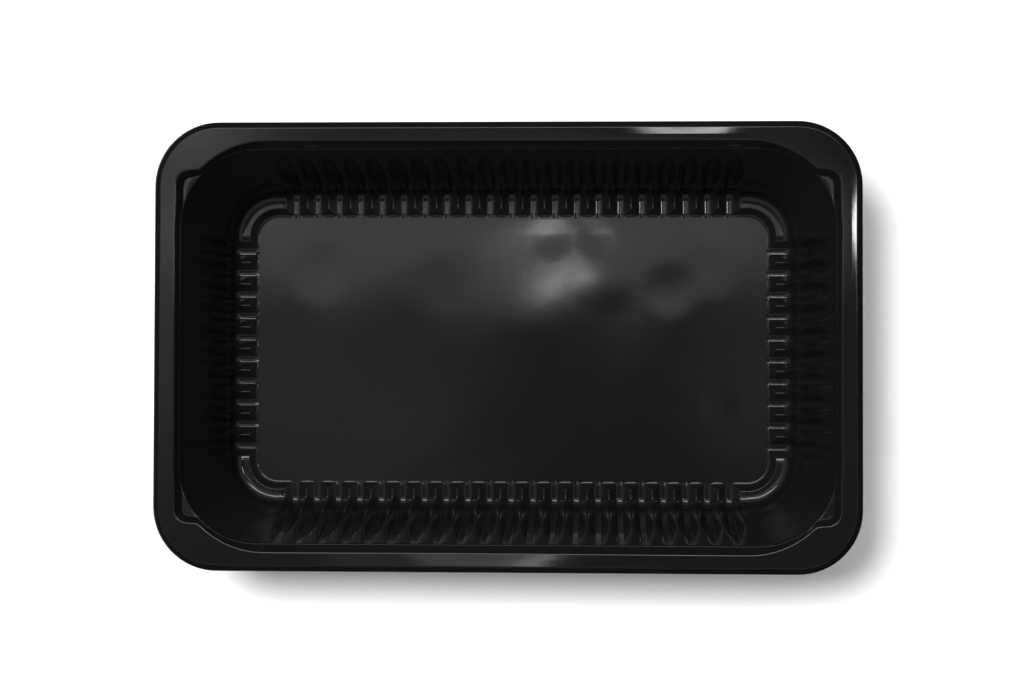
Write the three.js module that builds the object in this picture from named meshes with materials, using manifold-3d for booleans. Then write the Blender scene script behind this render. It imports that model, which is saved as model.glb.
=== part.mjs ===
// A one-piece thermoformed food tray with a flat sealing flange, stacking pockets and a ribbed wall.
// Units are millimetres. +Z is up, the tray stands on z = 0 and is centred on the Z axis.
import * as THREE from "three";
import { mergeVertices } from "three/addons/utils/BufferGeometryUtils.js";
import Module from "manifold-3d";

const wasm = await Module();
wasm.setup();

// Whole tray
const LENGTH = 220;
const WIDTH = 140;
const HEIGHT = 46;
const SHEET = 0.6;

// Rim: a flat sealing flange whose trimmed outer edge is turned down
const RIM_CORNER_RADIUS = 20;
const SKIRT_REACH = 2;
const SKIRT_DROP = 1.3;
const FLANGE_WIDTH_ENDS = 5;
const FLANGE_WIDTH_SIDES = 4.5;

// Mouth: rounded edge, then a short steep step down to a narrow ledge
const MOUTH_CORNER_RADIUS = 28;
const MOUTH_ROUND = 0.8;
const STEP_DEPTH = 2.8;
const STEP_INSET_ENDS = 0.8;
const STEP_INSET_SIDES = 2;
const STEP_LEDGE = 0.15;

// Stacking pockets, one beside each corner on the two short ends
const POCKET_OUTSET = 0.2;
const POCKET_SIDE_INSET = 8.5;
const POCKET_CORNER_RADIUS = 4.5;
const POCKET_WALL_RUN = 1.9;
const POCKET_LENGTH = 26;
const POCKET_WIDTH = 20;

// Wall, the raised ledge at its foot and the sunken floor panel
const WALL_CORNER_RADIUS = 24.2;
const WALL_DRAFT_DEGREES = 14.5;
const FOOT_FILLET = 3.5;
const LEDGE_WIDTH = 4.2;
const LEDGE_HEIGHT = 2;
const RISER_REACH = 2.3;

// Ribs: narrow channels run down the wall and across the ledge to the floor, with sharp teeth between
const RIB_PITCH = 7.2;
const CHANNEL_WIDTH = 1.9;
const CHANNEL_DEPTH = 1.6;
const CHANNEL_RUN_OUT = 17;

const CORNER_STEPS = 10;
const FILLET_STEPS = 3;
const CUT_MARGIN = 1;
const PLASTIC_COLOUR = 0x0d0d0e;

// Sizes that follow from the driving ones
const draft = THREE.MathUtils.degToRad(WALL_DRAFT_DEGREES);
const flangeTop = HEIGHT;
const stepBottom = flangeTop - STEP_DEPTH;
const floorTop = SHEET;
const ledgeTop = floorTop + LEDGE_HEIGHT;
const mouth = {
  x: LENGTH / 2 - SKIRT_REACH - FLANGE_WIDTH_ENDS,
  y: WIDTH / 2 - SKIRT_REACH - FLANGE_WIDTH_SIDES,
  radius: MOUTH_CORNER_RADIUS,
};
const wallTop = {
  x: mouth.x - STEP_INSET_ENDS,
  y: mouth.y - STEP_INSET_SIDES,
  radius: WALL_CORNER_RADIUS,
};
// The wall, ledge and floor are offsets of one core rectangle, so their corners share a centre.
const core = { x: wallTop.x - WALL_CORNER_RADIUS, y: wallTop.y - WALL_CORNER_RADIUS };
const wallOffset = (z) => WALL_CORNER_RADIUS - (stepBottom - z) * Math.tan(draft);
const riserTopOffset = wallOffset(ledgeTop) - LEDGE_WIDTH;
const floorOffset = riserTopOffset - RISER_REACH;
const riserAngle = Math.atan2(LEDGE_HEIGHT, RISER_REACH);
const flankAngle = Math.atan2(LEDGE_HEIGHT, (RIB_PITCH - CHANNEL_WIDTH) / 2);
const skirtAngle = Math.atan2(SKIRT_DROP, SKIRT_REACH);

const CORNERS = [
  { x: 1, y: -1, from: -Math.PI / 2 },
  { x: 1, y: 1, from: 0 },
  { x: -1, y: 1, from: Math.PI / 2 },
  { x: -1, y: -1, from: Math.PI },
];

// Joins closed loops of points, lowest first and counter-clockwise from above, into one closed solid.
// Each four-sided cell folds along the diagonal that stands further into the tray, so that a tooth
// ends in a hip and a rib runs out below the mouth in a triangular facet.
function loft(loops) {
  const count = loops[0].length;
  const points = loops.flat();
  const faces = [];
  const inwardness = (i, j) => {
    const middle = points[i].clone().lerp(points[j], 0.5);
    return middle.z - Math.hypot(middle.x, middle.y);
  };
  for (let row = 0; row < loops.length - 1; row++) {
    for (let i = 0; i < count; i++) {
      const next = (i + 1) % count;
      const [a, b] = [row * count + i, row * count + next];
      const [c, d] = [a + count, b + count];
      if (inwardness(a, d) >= inwardness(b, c)) {
        faces.push(a, b, d, a, d, c);
      } else {
        faces.push(a, b, c, b, d, c);
      }
    }
  }
  const middle = (loop) =>
    loop.reduce((sum, p) => sum.add(p), new THREE.Vector3()).divideScalar(count);
  const bottom = points.push(middle(loops[0])) - 1;
  const top = points.push(middle(loops.at(-1))) - 1;
  const topRow = (loops.length - 1) * count;
  for (let i = 0; i < count; i++) {
    const next = (i + 1) % count;
    faces.push(bottom, next, i, top, topRow + i, topRow + next);
  }
  const geometry = new THREE.BufferGeometry().setFromPoints(points);
  geometry.setIndex(faces);
  const merged = mergeVertices(geometry);
  return new wasm.Manifold(
    new wasm.Mesh({
      numProp: 3,
      vertProperties: merged.attributes.position.array,
      triVerts: new Uint32Array(merged.index.array),
    }),
  );
}

// A plain rounded rectangle at one height, grown outwards by an amount.
function plainLoop(shape, grow, z, centre = { x: 0, y: 0 }) {
  const radius = Math.max(shape.radius + grow, 0.01);
  const loop = [];
  for (const corner of CORNERS) {
    for (let i = 0; i <= CORNER_STEPS; i++) {
      const angle = corner.from + (i / CORNER_STEPS) * (Math.PI / 2);
      const x = corner.x * (shape.x + grow - radius) + radius * Math.cos(angle);
      const y = corner.y * (shape.y + grow - radius) + radius * Math.sin(angle);
      loop.push(new THREE.Vector3(centre.x + x, centre.y + y, z));
    }
  }
  return loop;
}

// Where the rib profile bends along one straight side, as distances from the side's middle.
// A bend is part of a channel floor, or of a tooth's crest, which stands as high as the plain ledge.
function ribBends(halfSide) {
  const channels = Math.floor((2 * halfSide) / RIB_PITCH);
  const bends = [];
  for (let i = 0; i < channels; i++) {
    const centre = (i - (channels - 1) / 2) * RIB_PITCH;
    bends.push({ at: centre - RIB_PITCH / 2, crest: 1, edge: 0 });
    bends.push({ at: centre - CHANNEL_WIDTH / 2, crest: 0, edge: -1 });
    bends.push({ at: centre + CHANNEL_WIDTH / 2, crest: 0, edge: 1 });
  }
  bends.push({ at: (channels * RIB_PITCH) / 2, crest: 1, edge: 0 });
  return bends;
}

// The stations round the core rectangle: a foot point, the outward direction there and the rib state.
function ribbedStations(skin) {
  const widen = skin * Math.tan(flankAngle / 2);
  const stations = [];
  for (const corner of CORNERS) {
    const alongX = corner.x * corner.y < 0;
    const half = alongX ? core.y : core.x;
    for (let i = 0; i <= CORNER_STEPS; i++) {
      const angle = corner.from + (i / CORNER_STEPS) * (Math.PI / 2);
      stations.push({
        foot: new THREE.Vector2(corner.x * core.x, corner.y * core.y),
        out: new THREE.Vector2(Math.cos(angle), Math.sin(angle)),
        crest: 1,
      });
    }
    const outAngle = corner.from + Math.PI / 2;
    const out = new THREE.Vector2(Math.cos(outAngle), Math.sin(outAngle));
    const along = new THREE.Vector2(-out.y, out.x);
    const middle = new THREE.Vector2(Math.abs(out.x) * out.x * core.x, Math.abs(out.y) * out.y * core.y);
    for (const bend of ribBends(half)) {
      const foot = middle.clone().addScaledVector(along, bend.at + bend.edge * widen);
      stations.push({ foot, out, crest: bend.crest });
    }
  }
  return stations;
}

// One point of the wall's section at a station, from the floor's edge up to the top of the wall.
// The skin is the distance outwards from the inside surface: 0 inside, the sheet thickness outside.
function sectionRows(skin) {
  const corner = skin * Math.tan(riserAngle / 2);
  const rows = [
    () => ({ offset: floorOffset + corner, z: floorTop - skin }),
    (crest) => ({ offset: riserTopOffset + corner, z: floorTop + crest * LEDGE_HEIGHT - skin }),
  ];
  for (let i = 0; i <= FILLET_STEPS; i++) {
    rows.push((crest) => {
      const ground = floorTop + crest * LEDGE_HEIGHT;
      const wall = wallOffset(ground) + (1 - crest) * CHANNEL_DEPTH;
      const centre = wall + FOOT_FILLET * (Math.tan(draft) - 1 / Math.cos(draft));
      const angle = -Math.PI / 2 + (i / FILLET_STEPS) * (Math.PI / 2 - draft);
      return {
        offset: centre + (FOOT_FILLET + skin) * Math.cos(angle),
        z: ground + FOOT_FILLET + (FOOT_FILLET + skin) * Math.sin(angle),
      };
    });
  }
  const outwards = skin / Math.cos(draft);
  const fullDepth = stepBottom - CHANNEL_RUN_OUT;
  rows.push((crest) => ({
    offset: wallOffset(fullDepth) + (1 - crest) * CHANNEL_DEPTH + outwards,
    z: fullDepth,
  }));
  rows.push(() => ({ offset: WALL_CORNER_RADIUS + outwards, z: stepBottom }));
  return rows;
}

// The ribbed bowl below the step, as a solid whose side is the given skin.
function bowl(skin, lidHeight) {
  const stations = ribbedStations(skin);
  const loops = sectionRows(skin).map((row) =>
    stations.map(({ foot, out, crest }) => {
      const { offset, z } = row(crest);
      return new THREE.Vector3(foot.x + out.x * offset, foot.y + out.y * offset, z);
    }),
  );
  loops.push(loops.at(-1).map((p) => new THREE.Vector3(p.x, p.y, lidHeight)));
  return loft(loops);
}

// The mouth and its step, with the stacking pockets joined on.
function mouthAndPockets(skin, topHeight) {
  const ledge = {
    x: wallTop.x + STEP_LEDGE,
    y: wallTop.y + STEP_LEDGE,
    radius: wallTop.radius + STEP_LEDGE,
  };
  const loops = [
    plainLoop(ledge, skin, stepBottom - skin),
    plainLoop(mouth, skin, flangeTop - MOUTH_ROUND - skin),
  ];
  if (skin === 0) {
    const rounded = MOUTH_ROUND * (1 - Math.SQRT1_2);
    loops.push(plainLoop(mouth, rounded, flangeTop - rounded));
    loops.push(plainLoop(mouth, MOUTH_ROUND, flangeTop));
    loops.push(plainLoop(mouth, MOUTH_ROUND, topHeight));
  } else {
    loops.push(plainLoop(mouth, skin, topHeight));
  }
  let solid = loft(loops);
  const slope = POCKET_WALL_RUN / STEP_DEPTH;
  const pocket = { x: POCKET_WIDTH / 2, y: POCKET_LENGTH / 2, radius: POCKET_CORNER_RADIUS };
  for (const corner of CORNERS) {
    const centre = {
      x: corner.x * (mouth.x + POCKET_OUTSET - pocket.x),
      y: corner.y * (mouth.y - POCKET_SIDE_INSET - pocket.y),
    };
    const growAt = (z) => (z - flangeTop) * slope + skin * Math.hypot(1, slope);
    const pocketLoops = [stepBottom - skin, topHeight].map((z) =>
      plainLoop(pocket, growAt(z), z, centre),
    );
    solid = solid.add(loft(pocketLoops));
  }
  return solid;
}

// The flange plate and its turned-down skirt, still closed over the mouth.
function rimPlate() {
  const outline = { x: LENGTH / 2, y: WIDTH / 2, radius: RIM_CORNER_RADIUS };
  const trimIn = SHEET * Math.sin(skirtAngle);
  const trimDown = SHEET * Math.cos(skirtAngle);
  const top = loft([
    plainLoop(outline, -trimIn, flangeTop - SKIRT_DROP - trimDown),
    plainLoop(outline, 0, flangeTop - SKIRT_DROP),
    plainLoop(outline, -SKIRT_REACH, flangeTop),
  ]);
  const below = flangeTop - SKIRT_DROP - trimDown - CUT_MARGIN;
  const spread = CUT_MARGIN / Math.tan(skirtAngle);
  const foldIn = SHEET * Math.tan(skirtAngle / 2);
  const underside = loft([
    plainLoop(outline, -trimIn + spread, below),
    plainLoop(outline, -SKIRT_REACH - foldIn, flangeTop - SHEET),
  ]);
  return top.subtract(underside);
}

function trayGeometry() {
  const body = rimPlate()
    .add(mouthAndPockets(SHEET, flangeTop - SHEET / 2))
    .add(bowl(SHEET, stepBottom + SHEET / 2));
  const cavity = mouthAndPockets(0, flangeTop + CUT_MARGIN).add(bowl(0, stepBottom + CUT_MARGIN));
  const mesh = body.subtract(cavity).getMesh();
  const geometry = new THREE.BufferGeometry();
  geometry.setAttribute("position", new THREE.BufferAttribute(mesh.vertProperties, mesh.numProp));
  geometry.setIndex(new THREE.BufferAttribute(mesh.triVerts, 1));
  geometry.computeVertexNormals();
  return geometry;
}

const blackPolypropylene = new THREE.MeshStandardMaterial({
  color: PLASTIC_COLOUR,
  roughness: 0.22,
  metalness: 0,
  flatShading: true,
});

const tray = new THREE.Mesh(trayGeometry(), blackPolypropylene);
tray.name = "tray";

const part = new THREE.Group();
part.add(tray);
export default part;
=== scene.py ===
import math

import bmesh
import bpy
from mathutils import Matrix, Vector


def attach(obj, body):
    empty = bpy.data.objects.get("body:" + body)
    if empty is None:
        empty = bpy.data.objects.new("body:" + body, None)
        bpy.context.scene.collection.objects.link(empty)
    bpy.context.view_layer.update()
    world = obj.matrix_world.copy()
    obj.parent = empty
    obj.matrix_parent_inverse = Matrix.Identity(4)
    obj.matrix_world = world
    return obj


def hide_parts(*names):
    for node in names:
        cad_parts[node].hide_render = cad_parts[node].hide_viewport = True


bl_info = {
    "name": "Ribbed food tray",
    "version": (1, 0, 0),
    "blender": (4, 5, 0),
    "location": "3D View > Sidebar > Food Tray",
    "description": "Builds a thermoformed food tray with its sealing flange, ribbed wall and toothed ledge",
    "category": "Object",
}

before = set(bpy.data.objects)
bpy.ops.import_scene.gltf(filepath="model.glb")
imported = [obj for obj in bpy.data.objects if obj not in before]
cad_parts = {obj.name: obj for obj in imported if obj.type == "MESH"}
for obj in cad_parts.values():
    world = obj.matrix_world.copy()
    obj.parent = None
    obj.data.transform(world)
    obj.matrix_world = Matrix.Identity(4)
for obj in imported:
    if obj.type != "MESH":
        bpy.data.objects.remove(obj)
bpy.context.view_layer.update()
MM = 0.001


# Sizes and colours that a user would change

class TraySettings(bpy.types.PropertyGroup):
    sheet: bpy.props.FloatProperty(
        name="Sheet",
        description="Thickness of the formed sheet",
        default=0.6 * MM,
        unit="LENGTH",
    )
    rib_pitch: bpy.props.FloatProperty(
        name="Rib pitch",
        description="Distance from one channel in the wall to the next",
        default=7.2 * MM,
        unit="LENGTH",
    )
    channel_width: bpy.props.FloatProperty(
        name="Channel width",
        description="Width of a channel's flat bottom",
        default=1.9 * MM,
        unit="LENGTH",
    )
    channel_depth: bpy.props.FloatProperty(
        name="Channel depth",
        description="How far a channel lies behind the ridges of the wall",
        default=1.6 * MM,
        unit="LENGTH",
    )
    floor_wave: bpy.props.FloatProperty(
        name="Floor wave",
        description="Height of the slow waves that forming leaves in the floor panel",
        default=0.1 * MM,
        unit="LENGTH",
    )
    plastic_colour: bpy.props.StringProperty(
        name="Plastic colour",
        description="Colour of the coloured-through sheet, as an sRGB hex value",
        default="101011",
    )


class StageSettings(bpy.types.PropertyGroup):
    floor_size: bpy.props.FloatProperty(
        name="Floor size",
        description="Length of one side of the floor that the tray stands on",
        default=1.1,
        unit="LENGTH",
    )
    floor_colour: bpy.props.StringProperty(
        name="Floor colour",
        description="Colour of the floor, as an sRGB hex value",
        default="F4F4F4",
    )
    ceiling_strength: bpy.props.FloatProperty(
        name="Ceiling strength",
        description="Strength of the soft lights in the ceiling, which the gloss shows",
        default=1.0,
    )
    lamp_power: bpy.props.FloatProperty(
        name="Lamp",
        description="Power of the soft lamp that gives the tray its shadow",
        default=32.0,
        unit="POWER",
    )


# The tray's fixed sizes, in millimetres, with the origin in the middle of its underside
LENGTH = 220
WIDTH = 140
HEIGHT = 46
RIM_RADIUS = 20
SKIRT_REACH = 2
SKIRT_DROP = 1.3
MOUTH = {"x": 103.0, "y": 63.5, "radius": 28}
MOUTH_ROUND = 0.8
STEP_DEPTH = 2.8
STEP_LEDGE = 0.15
POCKET = {"x": 93.2, "y": 42.0, "half_x": 10, "half_y": 13, "radius": 4.5, "run": 1.9}
CORE_X = 78.0
CORE_Y = 37.3
WALL_RADIUS = 24.2
DRAFT = math.radians(14.5)
FOOT_FILLET = 3.5
LEDGE_WIDTH = 4.2
LEDGE_HEIGHT = 2.0
RISER_REACH = 2.3
RUN_OUT = 17.0
TOOTH_CORNER = 0.7
FLOOR_GRID = (160, 78)

# How finely the mesh is made
CORNER_STEPS = 28
FLOOR_CELL = 1.5
MERGE_DISTANCE = 0.001

# Longer than any way from the core rectangle to the rim, and a gap that stands for no channel
FARTHEST_RIM = 40
NO_CHANNEL = 99

STEP_BOTTOM = HEIGHT - STEP_DEPTH


# Plan shapes

def ray_exit(shape, grow, foot, out):
    """Distance from a foot point to a rounded rectangle's edge, all in one quarter of the plan."""
    half_x = shape["x"] + grow
    half_y = shape["y"] + grow
    radius = max(shape["radius"] + grow, 0.05)
    centre_x = half_x - radius
    centre_y = half_y - radius
    exits = []
    if out[0] > 1e-9:
        exits.append((half_x - foot[0]) / out[0])
    if out[1] > 1e-9:
        exits.append((half_y - foot[1]) / out[1])
    distance = min(exits)
    hit_x = foot[0] + out[0] * distance
    hit_y = foot[1] + out[1] * distance
    if hit_x > centre_x and hit_y > centre_y:
        away_x = foot[0] - centre_x
        away_y = foot[1] - centre_y
        along = away_x * out[0] + away_y * out[1]
        distance = -along + math.sqrt(max(along * along - away_x**2 - away_y**2 + radius**2, 0))
    return distance


def pocket_exit(grow, foot, out):
    """Distance along a ray to the far edge of the stacking pocket, or nothing where it misses."""
    radius = POCKET["radius"] + grow
    flat_x = POCKET["half_x"] + grow - radius
    flat_y = POCKET["half_y"] + grow - radius
    best = None
    distance = 0.0
    # Small steps near the edge, long ones away from it
    while distance < FARTHEST_RIM:
        px = abs(foot[0] + out[0] * distance - POCKET["x"]) - flat_x
        py = abs(foot[1] + out[1] * distance - POCKET["y"]) - flat_y
        gap = math.hypot(max(px, 0), max(py, 0)) + min(max(px, py), 0) - radius
        if gap < 0:
            best = distance
        distance += 0.1 if abs(gap) < 0.4 else 0.4
    return best


def soft_max(a, b, blend):
    """The larger of two values, with the corner between them rounded."""
    if b is None:
        return a
    high = max(blend - abs(a - b), 0) / blend
    return max(a, b) + high * high * blend / 4


def soft_floor(value, blend):
    """A value held at zero or above, with the corner rounded."""
    if value <= -blend:
        return 0.0
    if value >= blend:
        return value
    return (value + blend) ** 2 / (4 * blend)


class Station:
    """One column of the tray: a foot point on the core rectangle and the way out from it."""

    def __init__(self, foot, out, side_gap):
        self.foot = foot
        self.out = out
        # Distance from the nearest channel's middle, or NO_CHANNEL at the corners
        self.side_gap = side_gap
        self.quarter_foot = (abs(foot[0]), abs(foot[1]))
        self.quarter_out = (abs(out[0]), abs(out[1]))

    def exit(self, shape, grow):
        return ray_exit(shape, grow, self.quarter_foot, self.quarter_out)

    def pocket(self, grow):
        return pocket_exit(grow, self.quarter_foot, self.quarter_out)


def side_positions(half, pitch, channel_width):
    """Where the columns stand along one straight side, and each one's gap from a channel's middle."""
    channels = int(2 * half / pitch)
    edge = channel_width / 2
    crest = pitch / 2
    # Columns stand close together at a channel's edges and at the ridge, where the shape bends
    gaps = [0, edge - 0.2, edge + 0.05, edge + 0.3, edge + 1.3, crest - 0.45, crest - 0.2]
    spots = []
    for channel in range(channels):
        centre = (channel - (channels - 1) / 2) * pitch
        spots.append((centre - crest, crest))
        spots += [(centre - gap, gap) for gap in reversed(gaps[1:])]
        spots += [(centre + gap, gap) for gap in gaps]
    spots.append((channels * pitch / 2, crest))
    return spots


def tray_stations(pitch, channel_width):
    """All columns, counter-clockwise from above, starting at the corner in +X, -Y."""
    corners = [(1, -1, -90), (1, 1, 0), (-1, 1, 90), (-1, -1, 180)]
    stations = []
    for sign_x, sign_y, start in corners:
        along_y = sign_x * sign_y < 0
        for step in range(CORNER_STEPS + 1):
            angle = math.radians(start + 90 * step / CORNER_STEPS)
            out = (math.cos(angle), math.sin(angle))
            stations.append(Station((sign_x * CORE_X, sign_y * CORE_Y), out, NO_CHANNEL))
        half = CORE_Y if along_y else CORE_X
        out_angle = math.radians(start + 90)
        out = (round(math.cos(out_angle)), round(math.sin(out_angle)))
        along = (-out[1], out[0])
        for spot, gap in side_positions(half, pitch, channel_width):
            foot = (
                out[0] * CORE_X + along[0] * spot,
                out[1] * CORE_Y + along[1] * spot,
            )
            stations.append(Station(foot, out, gap))
    return stations


# The section at one station

def rounded_path(corners):
    """Points of a path through corners (offset, z, radius, steps), each rounded to its radius."""
    points = []
    for index, (offset, z, radius, steps) in enumerate(corners):
        here = Vector((offset, z))
        if index == 0 or index == len(corners) - 1 or steps == 0:
            points.append(here)
            continue
        before = Vector(corners[index - 1][:2])
        after = Vector(corners[index + 1][:2])
        to_before = before - here
        to_after = after - here
        # A fillet may take three quarters of the shorter side, a small rounding just under half
        room = (0.75 if radius > 1 else 0.49) * min(to_before.length, to_after.length)
        if room < 1e-6:
            points += [here.copy() for _ in range(steps + 1)]
            continue
        to_before.normalize()
        to_after.normalize()
        cosine = max(min(to_before.dot(to_after), 1), -1)
        half_angle = math.acos(cosine) / 2
        reach = min(radius / max(math.tan(half_angle), 1e-6), room)
        start = here + to_before * reach
        end = here + to_after * reach
        # A point just past each end keeps the rounding's shading off the flat beside it
        spread = min(reach * 0.2, room * 0.3)
        if steps > 3:
            points.append(start + to_before * spread)
        for step in range(steps + 1):
            t = step / steps
            points.append(start * (1 - t) ** 2 + here * 2 * t * (1 - t) + end * t**2)
        if steps > 3:
            points.append(end + to_after * spread)
    return points


def wall_offset(z):
    """How far the wall's plain face stands out from the core rectangle at one height."""
    return WALL_RADIUS - (STEP_BOTTOM - z) * math.tan(DRAFT)


def wall_corners(station, skin, settings):
    """The section's corners from the floor's edge to the top of the wall, for the inside where skin
    is 0, and for the outside where skin is the sheet's thickness."""
    pitch = settings.rib_pitch / MM
    edge = settings.channel_width / MM / 2 + skin * 0.34
    depth = settings.channel_depth / MM
    reach = pitch / 2 - edge
    gap = station.side_gap - edge
    if station.side_gap < NO_CHANNEL:
        # The ridge between two channels is rounded
        gap = min(gap, reach + 0.1 - math.hypot(reach - gap, 0.2))
    crest = min(soft_floor(gap, 0.25) / reach, 1)
    floor_top = settings.sheet / MM
    ground = floor_top + crest * LEDGE_HEIGHT
    wide = 0.38 * skin
    ledge_in = WALL_RADIUS - (STEP_BOTTOM - floor_top - LEDGE_HEIGHT) * math.tan(DRAFT) - LEDGE_WIDTH
    floor_edge = ledge_in - RISER_REACH + wide
    # A tooth's front edge turns back round its two corners
    inside = min(max(gap, 0), TOOTH_CORNER)
    rounding = TOOTH_CORNER - math.sqrt(TOOTH_CORNER**2 - (TOOTH_CORNER - inside) ** 2)
    floor_edge += rounding
    riser_top = max(ledge_in - RISER_REACH + wide + crest * RISER_REACH, floor_edge + 0.02)
    out = skin / math.cos(DRAFT)
    # The outside takes fewer points than the inside
    fine = 2 if skin else 4

    def groove(z):
        """How far the wall lies behind its plain face: most in a channel, and less towards the top."""
        fade = depth * min(1, (STEP_BOTTOM - z) / RUN_OUT)
        return soft_floor(fade - depth * min(max(gap, 0) / reach, 1.2), 0.07)

    corners = [
        (floor_edge - 1.6, floor_top - skin, 0, 0),
        (floor_edge, floor_top - skin, 1.5 if crest > 0.02 else 0.01, fine),
        (riser_top, ground - skin, 0.4, fine),
        (wall_offset(ground) + groove(ground) + out, ground - skin, FOOT_FILLET + skin, 3 if skin else 8),
    ]
    full = STEP_BOTTOM - RUN_OUT
    heights = [full + RUN_OUT * step / 8 for step in range(8)]
    if skin:
        heights = heights[::4]
    corners += [(wall_offset(z) + groove(z) + out, z, 0, 0) for z in heights]
    return corners


def bell(distance, half_width):
    """A smooth hump: 1 in the middle, 0 from the half width on."""
    t = min(abs(distance) / half_width, 1)
    return (1 - t * t) ** 2


def flange_sag(x, y):
    """How far forming and trimming left the flange's inner edge, middle and fold below flat."""
    inner = 0.0
    middle = 0.0
    fold = 0.0
    if y < -55:
        inner += 0.37 * bell(x + 7, 62)
        middle += 0.18 * bell(x + 7, 62)
    if y > 55:
        fold += 0.11 * bell(x - 55, 29)
    if x > 95:
        fold += 0.1 * bell(y - 38, 36)
    return inner, middle, fold


def tray_section(station, settings):
    """Every point of one station's section: up the inside, round the rim and down the outside."""
    sheet = settings.sheet / MM
    inner = wall_corners(station, 0, settings)
    outer = wall_corners(station, sheet, settings)
    outline = {"x": LENGTH / 2, "y": WIDTH / 2, "radius": RIM_RADIUS}
    fold = math.atan2(SKIRT_DROP, SKIRT_REACH)
    slope = POCKET["run"] / STEP_DEPTH

    def mouth(grow, z, skin):
        """The mouth's edge at one height, where the opening and the pocket run together."""
        plain = station.exit(MOUTH, grow)
        pocket = station.pocket((z - HEIGHT) * slope + skin * 1.2)
        return soft_max(plain, pocket, 0.8)

    wall_top = WALL_RADIUS
    plain_ledge = wall_top + STEP_LEDGE
    low = STEP_BOTTOM
    pocket_low = station.pocket((low - HEIGHT) * slope)
    ledge_out = soft_max(plain_ledge, pocket_low, 0.8)
    mouth_in = max(mouth(0, HEIGHT - MOUTH_ROUND, 0), ledge_out + 0.05)
    mouth_edge = max(mouth(0.3, HEIGHT, 0), mouth_in + 0.12)
    rim_fold = station.exit(outline, -SKIRT_REACH)
    rim_edge = station.exit(outline, 0)
    trim_in = station.exit(outline, -sheet * math.sin(fold))
    under_fold = station.exit(outline, -SKIRT_REACH - sheet * math.tan(fold / 2))
    middle = (mouth_edge + rim_fold) / 2
    place_x = station.foot[0] + station.out[0] * middle
    place_y = station.foot[1] + station.out[1] * middle
    if place_x > 95:
        # The fold side's strip is narrower on the right
        middle += 0.15 * (rim_fold - mouth_edge) * min((place_x - 95) / 6, 1)
    sag_inner, sag_middle, sag_fold = flange_sag(place_x, place_y)
    corners = inner + [
        (wall_top, low, 0.5, 3),
        (ledge_out, low, 0.3, 4),
        (mouth_in, HEIGHT - MOUTH_ROUND, 0.8, 2),
        (mouth_edge, HEIGHT - sag_inner, 0.9, 4),
        (middle, HEIGHT - sag_middle, 1.5, 2),
        (rim_fold, HEIGHT - sag_fold, 0.5, 4),
        (rim_edge, HEIGHT - SKIRT_DROP, 0.15, 2),
        (trim_in, HEIGHT - SKIRT_DROP - sheet * math.cos(fold), 0.15, 2),
        (under_fold, HEIGHT - sheet - sag_fold, 0.5, 1),
    ]
    step_wall = max(mouth(0, HEIGHT - 1, sheet) + sheet, mouth_edge + 0.2)
    step_foot = max(plain_ledge + sheet, mouth(0, low - sheet, sheet) if pocket_low else 0)
    step_foot = min(max(step_foot, ledge_out + sheet * 0.9), step_wall - 0.02)
    corners += [
        (step_wall, HEIGHT - sheet - sag_inner, 0.5, 2),
        (step_foot, low - sheet, 0.5, 2),
        (wall_top + sheet / math.cos(DRAFT), low - sheet, 0.3, 2),
    ]
    corners += list(reversed(outer))
    return rounded_path(corners)


# Meshes

def ring_of(verts):
    """The edges that join a closed ring of vertices, in order."""
    edges = []
    for index, vert in enumerate(verts):
        other = verts[(index + 1) % len(verts)]
        edges.append(next(edge for edge in vert.link_edges if edge.other_vert(vert) is other))
    return edges


def next_ring(bm, verts, edges, places):
    """Extrudes a ring once and moves the new ring to its places."""
    grown = bmesh.ops.extrude_edge_only(bm, edges=edges)
    new = {item for item in grown["geom"] if isinstance(item, bmesh.types.BMVert)}
    ring = []
    for vert in verts:
        pair = next(e.other_vert(vert) for e in vert.link_edges if e.other_vert(vert) in new)
        ring.append(pair)
    for vert, place in zip(ring, places):
        vert.co = place
    return ring, ring_of(ring)


# Sink marks in the floor panel: middle x, middle y, half width, depth as a share of the wave
SINKS = [
    (13.0, 38.0, 9.0, 0.5),
    (28.0, 38.0, 8.0, 0.5),
    (53.0, 20.0, 11.0, 0.7),
    (31.0, 22.0, 12.0, -0.6),
    (-64.0, 26.0, 13.0, 0.5),
    (69.0, -19.0, 8.0, 0.6),
    (66.0, 27.0, 12.0, 0.5),
    (-25.0, 24.0, 16.0, 0.5),
]


def floor_wave(x, y, height):
    """The floor's slow waves, its sink marks and the faint crease across it, in millimetres."""
    fade = max(0, 1 - (x / 84) ** 6) * max(0, 1 - (y / 43) ** 6)
    slow = math.sin(x / 15 + 0.7) * math.cos(y / 13 - 0.5) + 0.6 * math.sin(x / 8.5 - y / 11 + 1.9)
    sinks = sum(share * bell(math.hypot(x - at_x, y - at_y), half) for at_x, at_y, half, share in SINKS)
    across = y + 11.5 + (x - 18) * 0.19
    crease = math.exp(-((across / 2.0) ** 2)) * bell(x - 43, 30)
    return height * (fade * 0.5 * slow - sinks - 0.3 * crease)


def fill_floor(bm, edges, z, wave):
    """Fills the floor panel inside its ring with a grid that carries the waves."""
    size_x, size_y = FLOOR_GRID
    count_x = int(size_x / FLOOR_CELL)
    count_y = int(size_y / FLOOR_CELL)
    grid = bmesh.ops.create_grid(bm, x_segments=count_x, y_segments=count_y, size=0.5)
    for vert in grid["verts"]:
        x = vert.co.x * size_x
        y = vert.co.y * size_y
        vert.co = (x * MM, y * MM, z * MM)
    rim = [e for v in grid["verts"] for e in v.link_edges if e.is_boundary]
    bmesh.ops.triangle_fill(bm, use_beauty=True, edges=list(set(rim)) + edges, normal=(0, 0, 1))
    for vert in grid["verts"]:
        vert.co.z += floor_wave(vert.co.x / MM, vert.co.y / MM, wave) * MM


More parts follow.
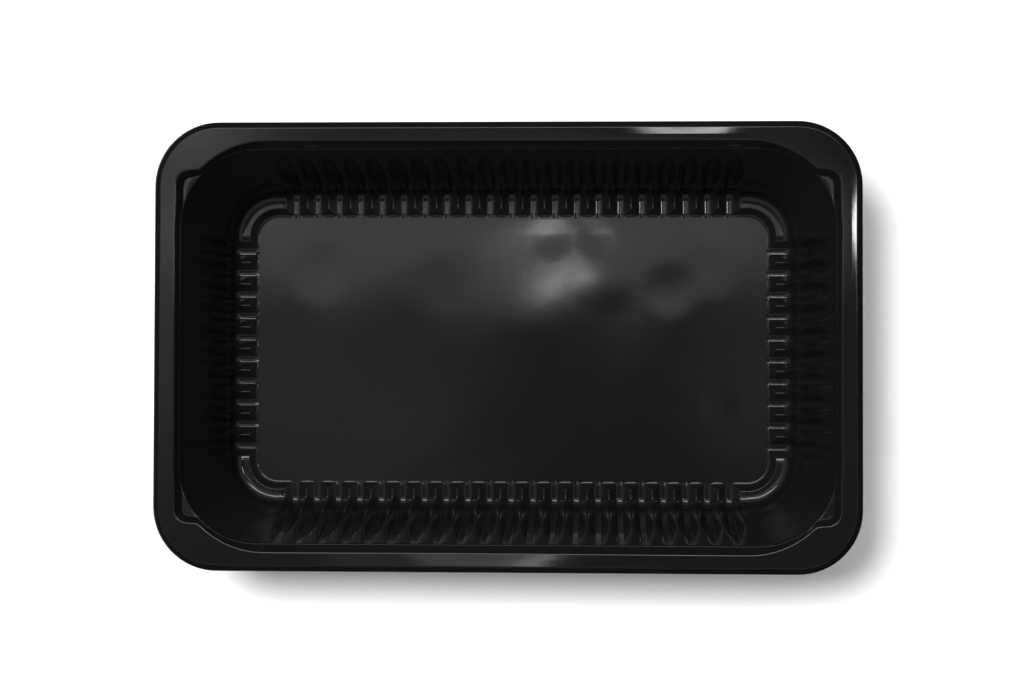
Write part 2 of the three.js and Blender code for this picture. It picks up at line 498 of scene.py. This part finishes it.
def tray_mesh(settings):
    """The tray's closed skin: its rings one after another, then the floor panel and the underside."""
    stations = tray_stations(settings.rib_pitch / MM, settings.channel_width / MM)
    sections = [tray_section(station, settings) for station in stations]
    rings = []
    for row in range(len(sections[0])):
        ring = []
        for station, section in zip(stations, sections):
            offset, z = section[row]
            x = station.foot[0] + station.out[0] * offset
            y = station.foot[1] + station.out[1] * offset
            ring.append(Vector((x, y, z)) * MM)
        rings.append(ring)
    bm = bmesh.new()
    made = bmesh.ops.create_circle(bm, cap_ends=False, radius=1, segments=len(stations))
    verts = made["verts"]
    for vert, place in zip(verts, rings[0]):
        vert.co = place
    edges = ring_of(verts)
    first = edges
    for places in rings[1:]:
        verts, edges = next_ring(bm, verts, edges, places)
    fill_floor(bm, first, settings.sheet / MM, settings.floor_wave / MM)
    bmesh.ops.triangle_fill(bm, use_beauty=True, edges=edges, normal=(0, 0, -1))
    bmesh.ops.remove_doubles(bm, verts=bm.verts, dist=MERGE_DISTANCE * MM)
    bmesh.ops.recalc_face_normals(bm, faces=bm.faces)
    for face in bm.faces:
        # The flat underside is shaded flat, so that its long triangles don't show
        face.smooth = face.normal.z > -0.999
    mesh = bpy.data.meshes.new("tray_skin")
    bm.to_mesh(mesh)
    bm.free()
    return mesh


# Materials

def linear(hex_colour):
    """An sRGB hex colour as linear red, green, blue and alpha."""
    values = [int(hex_colour[i:i + 2], 16) / 255 for i in (0, 2, 4)]
    return [v / 12.92 if v <= 0.04045 else ((v + 0.055) / 1.055) ** 2.4 for v in values] + [1]


def add_node(material, kind, settings=None, **links):
    """Adds one node, sets its sockets and properties, and links the sockets named to others."""
    node = material.node_tree.nodes.new(kind)
    for name, value in (settings or {}).items():
        if name in node.inputs:
            node.inputs[name].default_value = value
        else:
            setattr(node, name, value)
    for name, source in links.items():
        material.node_tree.links.new(source, node.inputs[name.replace("_", " ")])
    return node


def thermoformed_polypropylene(hex_colour):
    """Black polypropylene sheet, coloured through and vacuum formed: a soft-edged gloss, a little
    orange peel where the sheet was drawn over the mould, and a wall that is a little duller."""
    material = bpy.data.materials.new("thermoformed_polypropylene")
    material.use_nodes = True
    material.node_tree.nodes.clear()
    place = add_node(material, "ShaderNodeTexCoord")
    # Orange peel about 3 mm across, the grain of a formed sheet
    peel = add_node(
        material,
        "ShaderNodeTexNoise",
        {"Scale": 1 / (3.0 * MM), "Detail": 2.0, "Roughness": 0.5},
        Vector=place.outputs["Object"],
    )
    bump = add_node(
        material,
        "ShaderNodeBump",
        {"Strength": 0.02, "Distance": 0.2 * MM},
        Height=peel.outputs["Fac"],
    )
    # Handling haze about 25 mm across, which changes how sharp the gloss is
    haze = add_node(
        material,
        "ShaderNodeTexNoise",
        {"Scale": 1 / (25 * MM), "Detail": 3.0},
        Vector=place.outputs["Object"],
    )
    gloss = add_node(
        material,
        "ShaderNodeMapRange",
        {"From Min": 0.3, "From Max": 0.7, "To Min": 0.06, "To Max": 0.09},
        Value=haze.outputs["Fac"],
    )
    # The drawn wall is duller than the floor and the flange, from just above the teeth to the step
    height = add_node(material, "ShaderNodeSeparateXYZ", Vector=place.outputs["Object"])
    off_floor = add_node(
        material,
        "ShaderNodeMapRange",
        {"From Min": 2.0 * MM, "From Max": 8.0 * MM, "To Min": 0.0, "To Max": 0.09},
        Value=height.outputs["Z"],
    )
    below_step = add_node(
        material,
        "ShaderNodeMapRange",
        {"From Min": 40.0 * MM, "From Max": 43.0 * MM, "To Min": 1.0, "To Max": 0.0},
        Value=height.outputs["Z"],
    )
    drawn = add_node(material, "ShaderNodeMath", {"operation": "MULTIPLY"})
    material.node_tree.links.new(off_floor.outputs["Result"], drawn.inputs[0])
    material.node_tree.links.new(below_step.outputs["Result"], drawn.inputs[1])
    dullness = add_node(material, "ShaderNodeMath", {"operation": "ADD"})
    material.node_tree.links.new(gloss.outputs["Result"], dullness.inputs[0])
    material.node_tree.links.new(drawn.outputs["Value"], dullness.inputs[1])
    surface = add_node(
        material,
        "ShaderNodeBsdfPrincipled",
        {"Base Color": linear(hex_colour), "IOR": 1.49, "Metallic": 0.0},
        Roughness=dullness.outputs["Value"],
        Normal=bump.outputs["Normal"],
    )
    add_node(material, "ShaderNodeOutputMaterial", Surface=surface.outputs["BSDF"])
    return material


def painted_floor(hex_colour):
    """Matt white paint, which shows pure white to the camera where no shadow falls on it."""
    material = bpy.data.materials.new("painted_floor")
    material.use_nodes = True
    material.node_tree.nodes.clear()
    path = add_node(material, "ShaderNodeLightPath")
    paint = add_node(
        material,
        "ShaderNodeBsdfPrincipled",
        {"Base Color": linear(hex_colour), "Roughness": 0.9, "Specular IOR Level": 0.0},
    )
    # The lamp alone leaves the paint just under white
    glow = add_node(material, "ShaderNodeEmission", {"Color": (1, 1, 1, 1), "Strength": 0.08})
    both = add_node(material, "ShaderNodeAddShader")
    material.node_tree.links.new(paint.outputs["BSDF"], both.inputs[0])
    material.node_tree.links.new(glow.outputs["Emission"], both.inputs[1])
    choice = add_node(material, "ShaderNodeMixShader", Fac=path.outputs["Is Camera Ray"])
    material.node_tree.links.new(paint.outputs["BSDF"], choice.inputs[1])
    material.node_tree.links.new(both.outputs["Shader"], choice.inputs[2])
    add_node(material, "ShaderNodeOutputMaterial", Surface=choice.outputs["Shader"])
    return material


# Operators

class OBJECT_OT_food_tray(bpy.types.Operator):
    """Build the formed tray in place of the plain solid"""
    bl_idname = "object.food_tray"
    bl_label = "Tray"

    def execute(self, context):
        settings = context.scene.tray_settings
        mesh = tray_mesh(settings)
        mesh.materials.append(thermoformed_polypropylene(settings.plastic_colour))
        tray = bpy.data.objects.new("tray_skin", mesh)
        context.scene.collection.objects.link(tray)
        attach(tray, "root")
        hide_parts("tray")
        return {"FINISHED"}


class OBJECT_OT_tray_stage(bpy.types.Operator):
    """Build the floor, the lights and the camera"""
    bl_idname = "object.tray_stage"
    bl_label = "Stage"

    def execute(self, context):
        settings = context.scene.stage_settings
        add_floor(context, settings)
        add_lights(context, settings)
        add_camera(context)
        context.scene.view_settings.view_transform = "Standard"
        return {"FINISHED"}


def add_floor(context, settings):
    bm = bmesh.new()
    bmesh.ops.create_grid(bm, x_segments=1, y_segments=1, size=settings.floor_size / 2)
    mesh = bpy.data.meshes.new("floor")
    bm.to_mesh(mesh)
    bm.free()
    mesh.materials.append(painted_floor(settings.floor_colour))
    floor = bpy.data.objects.new("floor", mesh)
    context.scene.collection.objects.link(floor)


# The ceiling's level away from its lights
CEILING_LEVEL = 0.42

# The ceiling's soft lights: middle and reach in a direction's X and Y, strength, and how far from
# the middle, as a share of the reach, the light stays at full strength. The last one takes light
# away, so that the middle of the ceiling is dark.
CEILING = [
    ((-0.04, 0.08), (0.24, 0.05), 1.2, 0.5),
    ((-0.26, 0.12), (0.15, 0.25), 0.9, 0.0),
    ((-0.205, 0.135), (0.05, 0.035), 1.1, 0.0),
    ((-0.12, -0.02), (0.1, 0.08), 0.3, 0.3),
    ((0.085, 0.0), (0.045, 0.07), 0.25, 0.2),
    ((-0.16, 0.5), (0.22, 0.18), 1.6, 0.0),
    ((0.06, 0.215), (0.06, 0.035), 13.0, 0.3),
    ((-0.03, 0.33), (0.42, 0.1), 8.0, 0.6),
    ((0.255, 0.085), (0.02, 0.06), 42.0, 0.3),
    ((-0.018, 0.061), (0.032, 0.018), 10.0, 0.0),
    ((0.0, 0.02), (0.45, 0.45), -0.37, 0.5),
]


def add_lights(context, settings):
    """A soft lamp almost overhead, and a ceiling whose soft lights show in the gloss."""
    light = bpy.data.lights.new("lamp", "AREA")
    light.shape = "DISK"
    light.size = 0.6
    light.energy = settings.lamp_power
    lamp = bpy.data.objects.new("lamp", light)
    lamp.location = (-0.46, 0.34, 1.5)
    aim = Vector((0, 0, 0.03)) - lamp.location
    lamp.rotation_euler = aim.to_track_quat("-Z", "Y").to_euler()
    lamp.visible_glossy = False
    context.scene.collection.objects.link(lamp)
    world = bpy.data.worlds.new("studio")
    world.use_nodes = True
    world.node_tree.nodes.clear()
    way = add_node(world, "ShaderNodeTexCoord")
    level = None
    for centre, reach, strength, core in CEILING:
        # How far a direction is from the light's middle, where 1 is its reach
        shift = add_node(world, "ShaderNodeVectorMath", {"operation": "SUBTRACT"})
        world.node_tree.links.new(way.outputs["Generated"], shift.inputs[0])
        shift.inputs[1].default_value = (centre[0], centre[1], 0)
        scaled = add_node(world, "ShaderNodeVectorMath", {"operation": "MULTIPLY"})
        world.node_tree.links.new(shift.outputs["Vector"], scaled.inputs[0])
        scaled.inputs[1].default_value = (1 / reach[0], 1 / reach[1], 0)
        away = add_node(world, "ShaderNodeVectorMath", {"operation": "LENGTH"})
        world.node_tree.links.new(scaled.outputs["Vector"], away.inputs[0])
        glow = add_node(
            world,
            "ShaderNodeMapRange",
            {"interpolation_type": "SMOOTHSTEP", "From Min": core, "From Max": 1.0,
             "To Min": strength * settings.ceiling_strength, "To Max": 0.0},
            Value=away.outputs["Value"],
        )
        total = add_node(world, "ShaderNodeMath", {"operation": "ADD"})
        world.node_tree.links.new(glow.outputs["Result"], total.inputs[0])
        total.inputs[1].default_value = CEILING_LEVEL
        if level:
            world.node_tree.links.new(level.outputs["Value"], total.inputs[1])
        level = total
    # The ceiling fades out towards the horizon
    axes = add_node(world, "ShaderNodeSeparateXYZ", Vector=way.outputs["Generated"])
    above = add_node(world, "ShaderNodeMath", {"operation": "MULTIPLY"})
    up = add_node(
        world,
        "ShaderNodeMapRange",
        {"From Min": 0.25, "From Max": 0.7},
        Value=axes.outputs["Z"],
    )
    world.node_tree.links.new(level.outputs["Value"], above.inputs[0])
    world.node_tree.links.new(up.outputs["Result"], above.inputs[1])
    # The camera sees plain white beyond the floor
    light_out = add_node(world, "ShaderNodeBackground", Strength=above.outputs["Value"])
    white = add_node(world, "ShaderNodeBackground", {"Color": (1, 1, 1, 1), "Strength": 1.0})
    path = add_node(world, "ShaderNodeLightPath")
    seen = add_node(world, "ShaderNodeMixShader", Fac=path.outputs["Is Camera Ray"])
    world.node_tree.links.new(light_out.outputs["Background"], seen.inputs[1])
    world.node_tree.links.new(white.outputs["Background"], seen.inputs[2])
    add_node(world, "ShaderNodeOutputWorld", Surface=seen.outputs["Shader"])
    context.scene.world = world


# The camera, in pixels of a 1024 by 683 image: the point straight below it, the image's middle and
# its focal length
PLUMB_POINT = (590.4, 382.4)
IMAGE_MIDDLE = (512, 341.5)
FOCAL_LENGTH = 1900


def add_camera(context):
    """The camera almost straight above, a little right of and nearer than the tray's middle."""
    camera_data = bpy.data.cameras.new("camera")
    camera_data.sensor_width = 36
    camera_data.lens = 66.8
    camera_data.clip_start = 0.01
    camera = bpy.data.objects.new("camera", camera_data)
    right = (PLUMB_POINT[0] - IMAGE_MIDDLE[0]) / FOCAL_LENGTH
    up = -(PLUMB_POINT[1] - IMAGE_MIDDLE[1]) / FOCAL_LENGTH
    down = Vector((right, up, -1)).normalized()
    up_axis = -down
    roll = math.radians(-0.16)
    x_axis = Vector((math.cos(roll), math.sin(roll), 0))
    x_axis = (x_axis - up_axis * x_axis.dot(up_axis)).normalized()
    turn = Matrix((x_axis, up_axis.cross(x_axis), up_axis)).to_4x4()
    camera.matrix_world = Matrix.Translation((0.0262, -0.0110, 0.6328)) @ turn
    context.scene.collection.objects.link(camera)
    context.scene.camera = camera


class VIEW3D_PT_food_tray(bpy.types.Panel):
    """Lists the tray's pieces and the stage"""
    bl_idname = "VIEW3D_PT_food_tray"
    bl_label = "Food Tray"
    bl_space_type = "VIEW_3D"
    bl_region_type = "UI"
    bl_category = "Food Tray"

    def draw(self, context):
        for settings in (context.scene.tray_settings, context.scene.stage_settings):
            for name in settings.bl_rna.properties.keys():
                if name not in ("rna_type", "name"):
                    self.layout.prop(settings, name)
        for step in STEPS:
            self.layout.operator(step.bl_idname)


STEPS = (OBJECT_OT_food_tray, OBJECT_OT_tray_stage)
CLASSES = (TraySettings, StageSettings) + STEPS + (VIEW3D_PT_food_tray,)


def register():
    for cls in CLASSES:
        bpy.utils.register_class(cls)
    bpy.types.Scene.tray_settings = bpy.props.PointerProperty(type=TraySettings)
    bpy.types.Scene.stage_settings = bpy.props.PointerProperty(type=StageSettings)


def unregister():
    del bpy.types.Scene.stage_settings
    del bpy.types.Scene.tray_settings
    for cls in reversed(CLASSES):
        bpy.utils.unregister_class(cls)


def main():
    register()
    bpy.ops.object.food_tray()
    bpy.ops.object.tray_stage()


if __name__ == "__main__":
    main()
